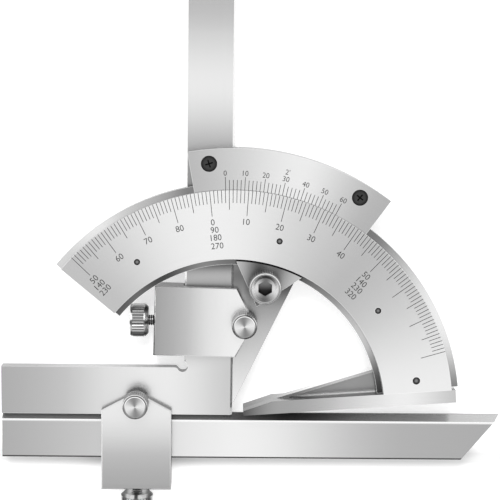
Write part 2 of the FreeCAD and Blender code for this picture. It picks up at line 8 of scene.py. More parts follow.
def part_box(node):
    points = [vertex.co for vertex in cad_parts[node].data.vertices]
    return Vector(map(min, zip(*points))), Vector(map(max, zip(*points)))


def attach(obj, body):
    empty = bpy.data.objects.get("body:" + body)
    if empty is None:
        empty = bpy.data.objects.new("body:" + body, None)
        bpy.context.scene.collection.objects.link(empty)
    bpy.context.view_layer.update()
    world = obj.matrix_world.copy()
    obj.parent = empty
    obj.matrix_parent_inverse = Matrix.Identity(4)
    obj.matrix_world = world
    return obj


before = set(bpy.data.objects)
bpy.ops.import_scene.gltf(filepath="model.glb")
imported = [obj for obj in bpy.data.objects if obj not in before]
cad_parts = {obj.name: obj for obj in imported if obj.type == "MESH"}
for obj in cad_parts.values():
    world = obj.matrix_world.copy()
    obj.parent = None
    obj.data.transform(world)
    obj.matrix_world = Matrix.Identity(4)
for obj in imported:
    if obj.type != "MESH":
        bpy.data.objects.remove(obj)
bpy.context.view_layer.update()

# Lengths in this file are millimetres until a mesh is made, which is in metres
MM = 0.001

# Axes by number
X, Y, Z = 0, 1, 2

# Camera, solved from the photograph: angles in radians, and its place seen from the dial's centre
IMAGE_PIXELS = 500
FOCAL_PIXELS = 1376.9
SENSOR_WIDTH = 36.0
CAMERA_PITCH = 0.126
CAMERA_YAW = 0.016
CAMERA_ROLL = 0.012
CAMERA_DISTANCE = 413.6
CAMERA_RIGHT = 5.395
CAMERA_UP = 48.202

# How far the camera sees
CAMERA_SIGHT = 100000.0

# Dial and vernier, angles clockwise from +Y in degrees
DIAL_CENTRE = (0, 0, 0)
FACE_Z = 15.0
FACE_OUTER_R = 66.3
FACE_INNER_R = 45.8
VERNIER_INNER_R = 66.35
VERNIER_EDGE = 0.15
DIAL_ZERO_DEG = -6.3
VERNIER_ZERO_DEG = -2.2

# Lines of the two scales
FIRST_DEGREE = -40
LAST_DEGREE = 80
DEGREE_TICK = 3.75
FIVE_TICK = 5.7
TEN_TICK = 7.5
VERNIER_DIVISIONS = 30
VERNIER_SPAN_DEG = 29.0
VERNIER_TICK = 3.0
VERNIER_LONG_TICK = 3.9
TICK_WIDTH = 0.185
INK_HEIGHT = 0.012
INK_DEPTH = 0.03

# Figures of the two scales
LAST_FIGURE_DEGREE = 50
FIGURE_HEIGHT = 1.82
FIGURE_ROWS = (57.1, 54.8, 52.5, 50.0)
FIGURE_SQUEEZE = 0.97
VERNIER_FIGURE_HEIGHT = 1.55
VERNIER_FIGURE_R = 71.4
MINUTE_MARK_R = 73.5

# Figures in several rows, by degree: how many rows, and how far they start together (0 is centred)
FIGURE_COLUMNS = {-40: (3, 0.0), 0: (4, 0.5), 50: (4, 1.0)}

# Pins of the gear and screws of the vernier, which each share a node
GEAR_PIN_PLACE_R = 53.05
GEAR_PIN_DEGS = (-32.6, 14.8, 54.6)
GEAR_PIN_R = 0.95
SCREW_PLACE_R = 74.4
SCREW_DEGS = (-5.8, 29.9)

# Ring's inner ledge: between these turns it lies in the brake plate's shade
SHADED_LEDGE_DEGS = (1, 27)

# Front of the blade, and the painted highlight and shadow lines along its edges
BLADE_TOP_Y = -4.75
BLADE_MIDDLE_Y = -10
HIGHLIGHT_LINE = 0.6
SHADOW_LINE = 0.4

# Where the square's two arms meet, and how far their tones blend there
ARMS_MEET_Y = 14
ARMS_BLEND = 6

# Heights on the base rule that part its sunk field, its web and its bar
FIELD_TOP_Z = 10.4
WEB_TOP_Z = 11.2
BAR_FOOT_Z = 14

# Strip of the sector plate along the square's long arm, painted paler than the rest as sheen
PALE_STRIP_RIGHT_X = 4
PALE_STRIP_BLEND = 2

# Brake plate: its front ends in a dark step over the ring's ledge, painted as shade, with a painted
# highlight at its edge
PLATE_FRONT_R = 45.2
PLATE_EDGE_R = 45.15
PLATE_WALL_R = 44.0

# Outer ends of the clamp blocks, and the bevel there, painted dark as shade
BLOCK_LEFT_X = -23.7
BLOCK_LOW_Y = -25.8
BLOCK_BEVEL = 0.22

# Threads of the side screws, where their necks show
NECK_GAP = 0.03
NECK_LENGTH = 1.85
NECK_CRESTS = 3
NECK_SIDES = 48
NECK_ROOT_R = 1.35
NECK_CREST_R = 1.68

# Kinds of faces, by their normal's part along an axis: where each begins, and where it counts in full
FRONT_LEAN = (0.85, 0.95)
BEVEL_LEAN = (0.4, 0.5)
BACK_LEAN = (-0.85, -0.95)
LOWER_WALL_LEAN = (-0.4, -0.6)
KNURL_LEAN = (0.3, 0.2)
CHAMFER_START_LEAN = (0.3, 0.4)
CHAMFER_END_LEAN = (0.85, 0.95)

# Grey levels of the sides that the photograph doesn't show: the back, and walls that face -Y
BACK_LEVEL = 172
LOWER_WALL_LEVEL = 190

# How far one tone blends into the next across a border
BORDER_BLEND = 0.1

# Marks in the finish: streaks and specks per metre, and streaks per degree round a centre
STREAKS_ALONG = 40.0
STREAKS_ACROSS = 5000.0
STREAKS_PER_DEG = 0.04
STREAK_DETAIL = 3.0
SPECKS = 2500.0
SPECK_DETAIL = 4.0

# How far the marks stand out, and how much they vary the roughness
RELIEF_DEPTH = 0.02
ROUGHNESS_SPREAD = 0.1

# Painted highlights on sharp edges: match of the rounded normal with the face's own, from none to full, and
# what shows
EDGE_HIGHLIGHT_MATCH = (0.98, 0.8)
EDGE_HIGHLIGHT_SHARE = 0.8

# Colours of the plain metals
BLACKENED = (0.012, 0.012, 0.012)
GEAR_STEEL = (0.36, 0.36, 0.36)
THREAD_STEEL = (0.3, 0.3, 0.3)
BRASS = (0.6, 0.42, 0.16)

# Tones of the pins, as (distance from the axis in radii, grey level)
PIN_BANDS = ((0, 130), (0.3, 120), (0.55, 40), (1, 30))

# Vernier's screws: tones of the head as (radius, grey level), and the recess, painted near black as shade,
# by depth under the face
SCREW_BANDS = ((0, 62), (1.5, 62), (2.0, 34), (2.4, 30))
SCREW_SPECKS = 1500.0
RECESS_DEPTHS = (0.02, 0.1)
RECESS_LEVEL = 4

# Painted highlights on the edges of that recess: their reach, the radii where they end and are full, and
# what shows
RECESS_EDGE_REACH = 0.2
RECESS_EDGE_RADII = (1.9, 1.6)
RECESS_EDGE_SHARE = 0.35
RECESS_EDGE_LEVEL = 100

# Half of a knob towards +Y or +X, painted lighter or darker than the other half, in radii from its axis:
# where it begins, and where it counts in full
STANDING_HALF = (-0.15, 0.3)
LYING_HALF = (-0.3, 0.2)

# Knurls, by depth under their crests: a standing one's valleys, and a lying one's grooves, both painted dark
# as shade
VALLEY_DEPTHS = (0.2, 0.02)
GROOVE_FLOOR = (0.3, 0.22)
GROOVE_MOUTH = (0.19, 0.08)
GROOVE_SHARE = 0.75
GROOVE_LEVEL = 60

# Light on a lying knob's side and chamfers, as (distance from its axis in radii, grey level)
SIDE_BANDS = ((0, 112), (0.12, 132), (0.2, 222), (0.5, 225), (0.62, 105), (0.83, 62), (0.87, 205),
              (0.94, 235), (1, 235))
CHAMFER_BANDS = ((0, 70), (0.09, 80), (0.15, 245), (0.55, 250), (0.7, 90), (1, 60))

# Stud's hexagon socket, painted dark as shade: depths where it begins, its walls' level, and tones of its
# floor along Y
SOCKET_DEPTHS = (0.05, 0.2)
SOCKET_WALL_LEVEL = 34
SOCKET_FLOOR = ((-1.2, 36), (1.4, 118))

# Black filler of the lines: specks per metre, and (middle, spread) of its tone and its roughness
INK_SPECKS = 4000.0
INK_DETAIL = 3.0
INK_TONE = (0.0242, 0.022)
INK_ROUGHNESS = (0.55, 0.2)

# Floor: its own glow whitens it, apart from a strip under the blade's lower edge, where the glow is left off
# so that the blade's shadow shows darker
FLOOR_REACH = 12000.0
FLOOR_SHADE = 0.86
FLOOR_ROUGHNESS = 0.9
FLOOR_GLOW = 0.5
DULL_STRIP_Y = -18.3
DULL_STRIP_HALF = 1.4
DULL_STRIP_FADE = 4.6

# Sky, as (upward part of the direction, strength), and the lamp, above the tool and towards +Y
HORIZON = (0.05, 0.7)
OVERHEAD = (0.75, 1.0)
KEY_PLACE = (-100, 750, 1100)
KEY_TARGET = (0, 30, 0)
KEY_SIZE = 400
KEY_WATTS = 6.5


def grey(shade):
    """A linear value for a grey level of 0 to 255 on the screen."""
    share = shade / 255
    if share <= 0.04045:
        return share / 12.92
    return ((share + 0.055) / 1.055) ** 2.4


def polar(radius, deg):
    """A point in the plane at a radius, at an angle clockwise from +Y."""
    return Vector((radius * math.sin(math.radians(deg)), radius * math.cos(math.radians(deg)), 0))


def level_across(lying):
    """The level axis that is square to one lying along X or Y."""
    return Y if lying == X else X


def corners(node):
    """A CAD node's lowest and highest corners."""
    return [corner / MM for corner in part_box(node)]


def middle(node):
    """The middle of a CAD node."""
    low, high = corners(node)
    return (low + high) / 2


def in_radii(shares, radius):
    """Distances given in radii, in millimetres."""
    return [share * radius for share in shares]


def bands_in_radii(bands, radius):
    """Bands of (distance in radii, grey level), with the distances in millimetres."""
    return [(share * radius, shade) for share, shade in bands]


class Nodes:
    """A material's node tree, with a short call for each kind of node used here."""

    def __init__(self, name):
        self.material = bpy.data.materials.new(name)
        self.material.use_nodes = True
        self.tree = self.material.node_tree
        self.shader = self.tree.nodes["Principled BSDF"]
        self.place = self.add("ShaderNodeTexCoord")

    def add(self, kind, **settings):
        made = self.tree.nodes.new(kind)
        for key, value in settings.items():
            setattr(made, key, value)
        return made

    def put(self, socket, value):
        if isinstance(value, bpy.types.NodeSocket):
            self.tree.links.new(value, socket)
        else:
            socket.default_value = value

    def math(self, operation, first, second=0.0):
        made = self.add("ShaderNodeMath", operation=operation)
        self.put(made.inputs[0], first)
        self.put(made.inputs[1], second)
        return made.outputs[0]

    def axes(self, socket):
        made = self.add("ShaderNodeSeparateXYZ")
        self.put(made.inputs[0], socket)
        return made.outputs

    def vector(self, x, y, z):
        made = self.add("ShaderNodeCombineXYZ")
        for socket, value in zip(made.inputs, (x, y, z)):
            self.put(socket, value)
        return made.outputs[0]

    def share(self, value, low, high):
        """0 at low, 1 at high, and held past them."""
        made = self.add("ShaderNodeMapRange")
        for socket, given in zip(made.inputs, (value, low, high, 0.0, 1.0)):
            self.put(socket, given)
        return made.outputs[0]

    def step(self, value, border, blend=BORDER_BLEND):
        """0 below a border and 1 above it, with a blend between."""
        return self.share(value, border - blend / 2, border + blend / 2)

    def depth_share(self, value, top, depths):
        """0 at the first of two depths under a top, and 1 at the second."""
        first, second = depths
        return self.share(value, top - first, top - second)

    def mix(self, factor, first, second):
        made = self.add("ShaderNodeMix", data_type="FLOAT")
        self.put(made.inputs["Factor"], factor)
        self.put(made.inputs["A"], first)
        self.put(made.inputs["B"], second)
        return made.outputs["Result"]

    def noise(self, vector, scale, detail):
        made = self.add("ShaderNodeTexNoise")
        self.put(made.inputs["Vector"], vector)
        self.put(made.inputs["Scale"], scale)
        self.put(made.inputs["Detail"], detail)
        return made.outputs["Fac"]

    def specks(self, scale=SPECKS, detail=SPECK_DETAIL):
        """A fine mottle all over."""
        return self.noise(self.place.outputs["Object"], scale, detail)

    def varied(self, marks, middle_value, spread):
        """A value that the marks, which run from 0 to 1, move by a spread about its middle."""
        moved = self.math("MULTIPLY", self.math("SUBTRACT", marks, 0.5), spread)
        return self.math("ADD", moved, middle_value)

    def relief(self, height, strength):
        """Let the marks stand out a little from the surface."""
        bump = self.add("ShaderNodeBump")
        bump.inputs["Strength"].default_value = strength
        bump.inputs["Distance"].default_value = RELIEF_DEPTH * MM
        self.put(bump.inputs["Height"], height)
        self.put(self.shader.inputs["Normal"], bump.outputs[0])

    def let_through_from_below(self):
        """Make the back of the faces clear, so that the object shows from under the floor too."""
        clear = self.add("ShaderNodeBsdfTransparent")
        either = self.add("ShaderNodeMixShader")
        geometry = self.add("ShaderNodeNewGeometry")
        self.put(either.inputs["Fac"], geometry.outputs["Backfacing"])
        self.tree.links.new(self.shader.outputs[0], either.inputs[1])
        self.tree.links.new(clear.outputs[0], either.inputs[2])
        self.tree.links.new(either.outputs[0], self.tree.nodes["Material Output"].inputs["Surface"])

    def ramp(self, value, stops):
        """Grey tones along a measure: stops are (measure, grey level), in rising order.

        Where there are more than three, the ramp is smoothed and only nears their levels.
        """
        low, high = stops[0][0], stops[-1][0]
        made = self.add("ShaderNodeValToRGB")
        ramp = made.color_ramp
        ramp.interpolation = "B_SPLINE" if len(stops) > 3 else "EASE"
        while len(ramp.elements) < len(stops):
            ramp.elements.new(0.5)
        for element, (measure, shade) in zip(ramp.elements, stops):
            element.position = (measure - low) / (high - low)
            tone = grey(shade)
            element.color = (tone, tone, tone, 1.0)
        self.put(made.inputs[0], self.share(value, low, high))
        return made.outputs[0]


def place_of(nodes):
    """The object's own coordinates in millimetres, as X, Y and Z."""
    return [nodes.math("MULTIPLY", part, 1 / MM) for part in nodes.axes(nodes.place.outputs["Object"])]


def normal_of(nodes):
    """Which way a face looks, as X, Y and Z."""
    return nodes.axes(nodes.place.outputs["Normal"])


def angle_about(nodes, centre):
    """Angle clockwise from +Y about a point, in degrees."""
    x, y, _ = place_of(nodes)
    across = nodes.math("SUBTRACT", x, centre[X])
    up = nodes.math("SUBTRACT", y, centre[Y])
    return nodes.math("DEGREES", nodes.math("ARCTAN2", across, up))


def distance_from(nodes, centre, axes=(X, Y)):
    """Distance from a line through a centre, by the two coordinates square to the line."""
    place = place_of(nodes)
    first, second = (nodes.math("SUBTRACT", place[axis], centre[axis]) for axis in axes)
    square = nodes.math("ADD", nodes.math("MULTIPLY", first, first), nodes.math("MULTIPLY", second, second))
    return nodes.math("SQRT", square)


def distance_from_nearest(nodes, centres):
    """Distance from the nearest of several upright axes."""
    nearest = distance_from(nodes, centres[0])
    for centre in centres[1:]:
        nearest = nodes.math("MINIMUM", nearest, distance_from(nodes, centre))
    return nearest


def facing_front(nodes):
    """1 on faces that look out of the dial, and 0 on walls and bevels."""
    return nodes.share(normal_of(nodes)[Z], *FRONT_LEAN)


def edge_share(nodes, reach):
    """1 on sharp edges, fading to 0 within a reach."""
    bevel = nodes.add("ShaderNodeBevel", samples=8)
    bevel.inputs["Radius"].default_value = reach * MM
    geometry = nodes.add("ShaderNodeNewGeometry")
    dot = nodes.add("ShaderNodeVectorMath", operation="DOT_PRODUCT")
    nodes.put(dot.inputs[0], bevel.outputs["Normal"])
    nodes.put(dot.inputs[1], geometry.outputs["Normal"])
    return nodes.share(dot.outputs["Value"], *EDGE_HIGHLIGHT_MATCH)


def measured(nodes, measure):
    """x, y or z, the radius from the dial's axis, or the turn about it in degrees."""
    if measure == "radius":
        return distance_from(nodes, DIAL_CENTRE)
    if measure == "turn":
        return angle_about(nodes, DIAL_CENTRE)
    return place_of(nodes)["xyz".index(measure)]


def level(shade):
    """One grey level all over."""
    def tone(nodes):
        return grey(shade)
    return tone


def by(measure, *stops):
    """A tone that follows a measure."""
    def tone(nodes):
        return nodes.ramp(measured(nodes, measure), stops)
    return tone


def parted(measure, border, under, over, blend=BORDER_BLEND):
    """One tone below a border and another above it."""
    def tone(nodes):
        return nodes.mix(nodes.step(measured(nodes, measure), border, blend), under(nodes), over(nodes))
    return tone


def brush_marks(nodes, brushed, centre=DIAL_CENTRE):
    """Fine streaks that run along X, along Y, or round a centre."""
    x, y, z = nodes.axes(nodes.place.outputs["Object"])
    deep = nodes.math("MULTIPLY", z, STREAKS_ACROSS)
    if brushed == "turn":
        turn = nodes.math("MULTIPLY", angle_about(nodes, centre), STREAKS_PER_DEG)
        radius = nodes.math("MULTIPLY", distance_from(nodes, centre), MM * STREAKS_ACROSS)
        place = nodes.vector(radius, turn, deep)
    else:
        along_x, along_y = STREAKS_ALONG, STREAKS_ACROSS
        if brushed == "y":
            along_x, along_y = along_y, along_x
        place = nodes.vector(nodes.math("MULTIPLY", x, along_x), nodes.math("MULTIPLY", y, along_y), deep)
    return nodes.noise(place, 1.0, STREAK_DETAIL)


def finish_metal(nodes, colour, marks, grain, rough, metallic, relief=0.08):
    """Put a colour on the shader, with marks that vary it, its roughness and its relief.

    colour is one tone, or a tuple of red, green and blue.
    """
    light = nodes.varied(marks, 1.0, grain)
    parts = colour if isinstance(colour, tuple) else (colour,) * 3
    tinted = [nodes.math("MULTIPLY", part, light) for part in parts]
    nodes.put(nodes.shader.inputs["Base Color"], nodes.vector(*tinted))
    nodes.shader.inputs["Metallic"].default_value = metallic
    nodes.put(nodes.shader.inputs["Roughness"], nodes.varied(marks, rough, ROUGHNESS_SPREAD))
    nodes.relief(marks, relief)


def steel(name, front, walls, bevel=level(240), edge=level(250), brushed="x", edge_reach=0.35):
    """Brushed steel with painted light: tones painted along its front, walls and bevels as sheen and shade,
    and painted highlights on its front edges.
    """
    nodes = Nodes(name)
    _, along_y, along_z = normal_of(nodes)
    facing = facing_front(nodes)
    tone = nodes.mix(nodes.share(along_y, *LOWER_WALL_LEAN), walls(nodes), grey(LOWER_WALL_LEVEL))
    tone = nodes.mix(nodes.share(along_z, *BEVEL_LEAN), tone, bevel(nodes))
    tone = nodes.mix(facing, tone, front(nodes))
    tone = nodes.mix(nodes.share(along_z, *BACK_LEAN), tone, grey(BACK_LEVEL))
    # Painted highlight along the front's sharp edges
    edge_highlight = nodes.math("MULTIPLY", edge_share(nodes, edge_reach), facing)
    tone = nodes.mix(nodes.math("MULTIPLY", edge_highlight, EDGE_HIGHLIGHT_SHARE), tone, edge(nodes))
    finish_metal(nodes, tone, brush_marks(nodes, brushed), grain=0.05, rough=0.24, metallic=0.9)
    return nodes.material


def plain_metal(name, colour, rough, metallic=1.0):
    """Machined metal with a faint mottle."""
    nodes = Nodes(name)
    finish_metal(nodes, colour, nodes.specks(), grain=0.15, rough=rough, metallic=metallic, relief=0.1)
    return nodes.material


def pin_metal(name, centres, radius):
    """Blackened pins, paler in the middle and darker towards the rim."""
    nodes = Nodes(name)
    tone = nodes.ramp(distance_from_nearest(nodes, centres), bands_in_radii(PIN_BANDS, radius))
    finish_metal(nodes, tone, nodes.specks(), grain=0.2, rough=0.35, metallic=0.6)
    return nodes.material


def screw_metal(name, centres):
    """Blackened screws: a paler head with a darker rim, and a recess painted near black as shade, with
    painted highlights on its edges.
    """
    nodes = Nodes(name)
    nearest = distance_from_nearest(nodes, centres)
    recess = nodes.depth_share(place_of(nodes)[Z], FACE_Z, RECESS_DEPTHS)
    # The recess is painted near black as shade
    tone = nodes.mix(recess, nodes.ramp(nearest, SCREW_BANDS), grey(RECESS_LEVEL))
    inside = nodes.share(nearest, *RECESS_EDGE_RADII)
    # Painted highlights on the recess's edges
    edge_highlight = nodes.math("MULTIPLY", edge_share(nodes, RECESS_EDGE_REACH), inside)
    tone = nodes.mix(nodes.math("MULTIPLY", edge_highlight, RECESS_EDGE_SHARE), tone, grey(RECESS_EDGE_LEVEL))
    finish_metal(nodes, tone, nodes.specks(SCREW_SPECKS), grain=0.5, rough=0.3, metallic=0.85)
    return nodes.material


def wedges(nodes, centre, dark_deg, low, high):
    """Two bright and two dark wedges round a centre: painted reflections, as a turned face shows them."""
    turn = nodes.math("SUBTRACT", angle_about(nodes, centre), dark_deg)
    wave = nodes.math("COSINE", nodes.math("MULTIPLY", turn, math.radians(2)))
    return nodes.mix(nodes.share(wave, 1.0, -1.0), grey(low), grey(high))


def knob_metal(node, dark_deg, low, high, rings, side):
    """Turned and knurled steel of a node whose axis is upright.

    Its face has wedges of two levels, painted reflections. rings are (radius, level on the upper half, level
    on the lower half) from the middle out, painted highlights and shade, and each rules from its radius on.
    side has the levels of the knurl's valleys and crests, the valleys painted dark as shade.
    """
    nodes = Nodes(node + "_steel")
    centre = middle(node)
    crest_r = centre.x - corners(node)[0].x
    radius = distance_from(nodes, centre)
    across = nodes.math("SUBTRACT", place_of(nodes)[Y], centre.y)
    upper = nodes.share(across, *in_radii(STANDING_HALF, crest_r))
    tone = wedges(nodes, centre, dark_deg, low, high)
    for start, above, below in rings:
        ring = nodes.mix(upper, grey(below), grey(above))
        tone = nodes.mix(nodes.step(radius, start), tone, ring)
    valley, crest = side
    knurl = nodes.mix(nodes.depth_share(radius, crest_r, VALLEY_DEPTHS), grey(valley), grey(crest))
    tone = nodes.mix(nodes.share(normal_of(nodes)[Z], *KNURL_LEAN), tone, knurl)
    finish_metal(nodes, tone, brush_marks(nodes, "turn", centre), grain=0.1, rough=0.22, metallic=0.9)
    return nodes.material


def side_knob_metal(node, lying, keeps):
    """Knurled steel of a node whose axis lies along X or Y.

    Bands of painted light run along it, and its grooves are painted dark as shade. keeps is the share of
    its tone that its half towards +Y or +X keeps, a painted shade on that half.
    """
    nodes = Nodes(node + "_steel")
    centre = middle(node)
    knob_r = centre.z - corners(node)[0].z
    level_axis = level_across(lying)
    signed = nodes.math("SUBTRACT", place_of(nodes)[level_axis], centre[level_axis])
    across = nodes.math("ABSOLUTE", signed)
    tone = nodes.ramp(across, bands_in_radii(SIDE_BANDS, knob_r))
    half = nodes.share(signed, *in_radii(LYING_HALF, knob_r))
    tone = nodes.math("MULTIPLY", tone, nodes.mix(half, 1.0, keeps))
    radius = distance_from(nodes, centre, (level_axis, Z))
    groove = nodes.math("SUBTRACT", nodes.depth_share(radius, knob_r, GROOVE_FLOOR),
                        nodes.depth_share(radius, knob_r, GROOVE_MOUTH))
    tone = nodes.mix(nodes.math("MULTIPLY", groove, GROOVE_SHARE), tone, grey(GROOVE_LEVEL))
    lean = nodes.math("ABSOLUTE", normal_of(nodes)[lying])
    chamfer = nodes.math("SUBTRACT", nodes.share(lean, *CHAMFER_START_LEAN),
                         nodes.share(lean, *CHAMFER_END_LEAN))
    tone = nodes.mix(chamfer, tone, nodes.ramp(across, bands_in_radii(CHAMFER_BANDS, knob_r)))
    finish_metal(nodes, tone, nodes.specks(), grain=0.1, rough=0.34, metallic=0.9)
    return nodes.material


def stud_metal(node, dark_deg, low, high):
    """The stud's end: a turned face with wedges of two levels as painted reflections, and a hexagon socket
    painted dark as shade.
    """
    nodes = Nodes(node + "_steel")
    centre = middle(node)
    top = corners(node)[1].z
    face = wedges(nodes, centre, dark_deg, low, high)
    socket_floor = nodes.ramp(place_of(nodes)[Y], [(centre.y + away, shade) for away, shade in SOCKET_FLOOR])
    socket = nodes.mix(facing_front(nodes), grey(SOCKET_WALL_LEVEL), socket_floor)
    tone = nodes.mix(nodes.depth_share(place_of(nodes)[Z], top, SOCKET_DEPTHS), face, socket)
    finish_metal(nodes, tone, brush_marks(nodes, "turn", centre), grain=0.1, rough=0.25, metallic=0.9)
    return nodes.material


def ink_filler():
    """Black filler of the engraved lines and figures."""
    nodes = Nodes("graduation_ink")
    specks = nodes.specks(INK_SPECKS, INK_DETAIL)
    tone = nodes.varied(specks, *INK_TONE)
    nodes.put(nodes.shader.inputs["Base Color"], nodes.vector(tone, tone, tone))
    nodes.put(nodes.shader.inputs["Roughness"], nodes.varied(specks, *INK_ROUGHNESS))
    return nodes.material


def dress(node, material):
    """Give a CAD node its material."""
    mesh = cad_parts[node].data
    mesh.materials.clear()
    mesh.materials.append(material)


def dress_ring():
    """The graduated ring: its face, the flange outside it and the ledge inside it, with painted sheen and
    shade along each, and walls painted dark as shade.
    """
    face = by("turn", (-46, 185), (-32, 213), (-20, 230), (-8, 236), (4, 232), (16, 214), (34, 184),
              (43, 181), (58, 203), (70, 224), (80, 235), (90, 235))
    flange = by("turn", (-46, 205), (-37, 240), (-30, 205), (-22, 178), (-16, 158), (-12, 125),
                (20, 110), (38, 115), (44, 150), (54, 222), (64, 240), (72, 230), (78, 181), (84, 112))
    left_ledge = by("turn", (-46, 90), (-39, 118), (-31, 62), (-23, 76), (-13, 145), (-6, 125), (1, 108))
    right_ledge = by("turn", (26, 70), (34, 130), (40, 138), (47, 172), (58, 202), (65, 192), (71, 135),
                     (77, 75), (84, 50))
    shade_start, shade_end = SHADED_LEDGE_DEGS
    right_side = parted("turn", shade_end, level(24), right_ledge, blend=1)
    ledge = parted("turn", shade_start, left_ledge, right_side, blend=1)
    front = parted("radius", FACE_OUTER_R, parted("radius", FACE_INNER_R, ledge, face), flange)
    walls = by("turn", (-46, 110), (0, 80), (84, 120))
    dress("main_scale", steel("ring_steel", front, walls, brushed="turn"))


def dress_vernier():
    """The vernier's arc plate, with painted sheen on its face, walls painted dark as shade, and a dark line
    where it meets the ring.
    """
    face = by("turn", (-10, 176), (3, 209), (15, 240), (23, 212), (31, 180), (36, 176))
    front = parted("radius", VERNIER_INNER_R + VERNIER_EDGE, level(85), face)
    walls = by("turn", (-10, 34), (14, 44), (24, 50), (36, 40))
    dress("vernier_plate", steel("vernier_steel", front, walls, brushed="turn"))


def dress_blade():
    """The blade: a painted highlight line under its bevel and a painted shadow line along its lower edge,
    with painted sheen and shade on its faces and edges.
    """
    face = by("x", (-70, 167), (-44, 199), (-28, 213), (-4, 239), (8, 237), (20, 224), (36, 193),
              (52, 174), (82, 171))
    low_y = corners("blade")[0].y
    front = parted("y", BLADE_TOP_Y - HIGHLIGHT_LINE, face, level(252), blend=0.5)
    front = parted("y", low_y + SHADOW_LINE, level(60), front, blend=0.15)
    bevel = by("x", (-70, 166), (-44, 168), (-4, 168), (12, 70), (20, 75), (28, 107), (36, 150),
               (44, 170), (60, 192), (66, 208), (82, 220))
    # Painted shade on the lower edges and painted highlights on the upper ones
    edge = parted("y", BLADE_MIDDLE_Y, level(55), level(252))
    dress("blade", steel("blade_steel", front, level(110), bevel, edge, edge_reach=0.2))


def dress_square():
    """The square's two arms, with painted sheen along them, painted shade across the long arm next to the
    block and the ring, and walls painted dark as shade.
    """
    long_arm = by("y", (12, 222), (36, 60), (38, 178), (41, 182), (43.5, 30), (60, 130), (78, 172),
                  (87, 208), (98, 236), (112, 196), (120, 177), (138, 168))
    short_arm = by("x", (-70, 168), (-51, 191), (-39, 220), (-21, 240), (-9, 216), (0, 196))
    front = parted("y", ARMS_MEET_Y, short_arm, long_arm, blend=ARMS_BLEND)
    walls = by("x", (-70, 110), (-57, 135), (-45, 176), (-33, 160), (-27, 128), (-20, 113), (-14, 90),
               (1, 150))
    dress("square", steel("square_steel", front, walls, brushed="y"))


def dress_base_rule(high_walls):
    """The base rule: its bar, and the web below it with a rim round a sunk field, with painted sheen and
    shade along each, and painted shade and highlights on its walls and edges.
    """
    bar = by("x", (3, 70), (8, 132), (13, 163), (17, 158), (25, 173), (33, 198), (45, 229), (53, 240),
             (61, 214), (68, 190))
    field = by("x", (10, 110), (20, 120), (26, 138), (36, 156), (46, 138))
    rim = by("x", (3, 80), (12, 105), (17, 130), (21, 120), (28, 180), (33, 208), (40, 180), (46, 135),
             (64, 135))
    front = parted("z", BAR_FOOT_Z, parted("z", FIELD_TOP_Z, field, rim), bar)
    web_walls = by("x", (3, 90), (14, 105), (26, 250), (64, 250))
    walls = parted("z", WEB_TOP_Z, web_walls, high_walls)
    edge = by("x", (3, 105), (15, 125), (26, 250), (66, 250))
    dress("base_rule", steel("base_steel", front, walls, edge=edge, edge_reach=0.15))


def dress_sector_plate(walls):
    """The sector plate, with painted sheen and shade: a paler strip along the square's long arm, and darker
    near the brake knob and the ring.
    """
    fan = by("y", (0, 234), (6, 230), (14, 208), (20, 198), (26, 180), (30, 164), (33, 135), (36, 84),
             (39, 78), (44, 90), (80, 195))
    strip = by("y", (0, 238), (14, 211), (34, 150), (37, 133), (39, 121), (42, 104), (80, 195))
    front = parted("x", PALE_STRIP_RIGHT_X, strip, fan, blend=PALE_STRIP_BLEND)
    dress("sector_plate", steel("sector_steel", front, walls, edge=level(120), brushed="y", edge_reach=0.2))


def dress_brake():
    """The brake's plate with painted sheen and shade, a painted highlight on its front edge and painted
    shade past it, and the stud in its knob.
    """
    plate = by("turn", (0, 195), (4, 170), (8, 92), (11, 82), (14, 130), (17, 95), (20, 150), (24, 188),
               (28, 192))
    front = parted("radius", PLATE_FRONT_R, plate, level(18))
    walls = parted("radius", PLATE_WALL_R, level(110), level(24))
    edge = parted("radius", PLATE_EDGE_R, level(250), level(18))
    dress("brake_plate", steel("brake_plate_steel", front, walls, edge=edge, brushed="y", edge_reach=0.3))
    dress("brake_stud", stud_metal("brake_stud", 5, 110, 215))


def dress_clamp_blocks():
    """The two clamp blocks: painted sheen on their fronts, walls painted dark as shade, painted highlights
    on their bevels, and painted shade on the bevel at their outer ends.
    """
    front = by("x", (-24, 158), (-22, 160), (-14, 187), (-8, 221), (0, 238), (7, 240))
    walls = by("x", (-24, 60), (-4, 60), (2, 140), (8, 160))
    bevel = parted("x", BLOCK_LEFT_X + BLOCK_BEVEL, level(50), level(240))
    dress("upper_clamp_block", steel("upper_block_steel", front, walls, bevel, brushed="y"))
    front = by("y", (-26, 163), (-24, 166), (-15, 184), (-9, 213), (-3, 231), (6, 237))
    slopes = by("y", (-25, 178), (-15, 205), (-3, 240))
    bevel = parted("y", BLOCK_LOW_Y + BLOCK_BEVEL, level(50), slopes)
    dress("lower_clamp_block", steel("lower_block_steel", front, level(72), bevel, brushed="x"))


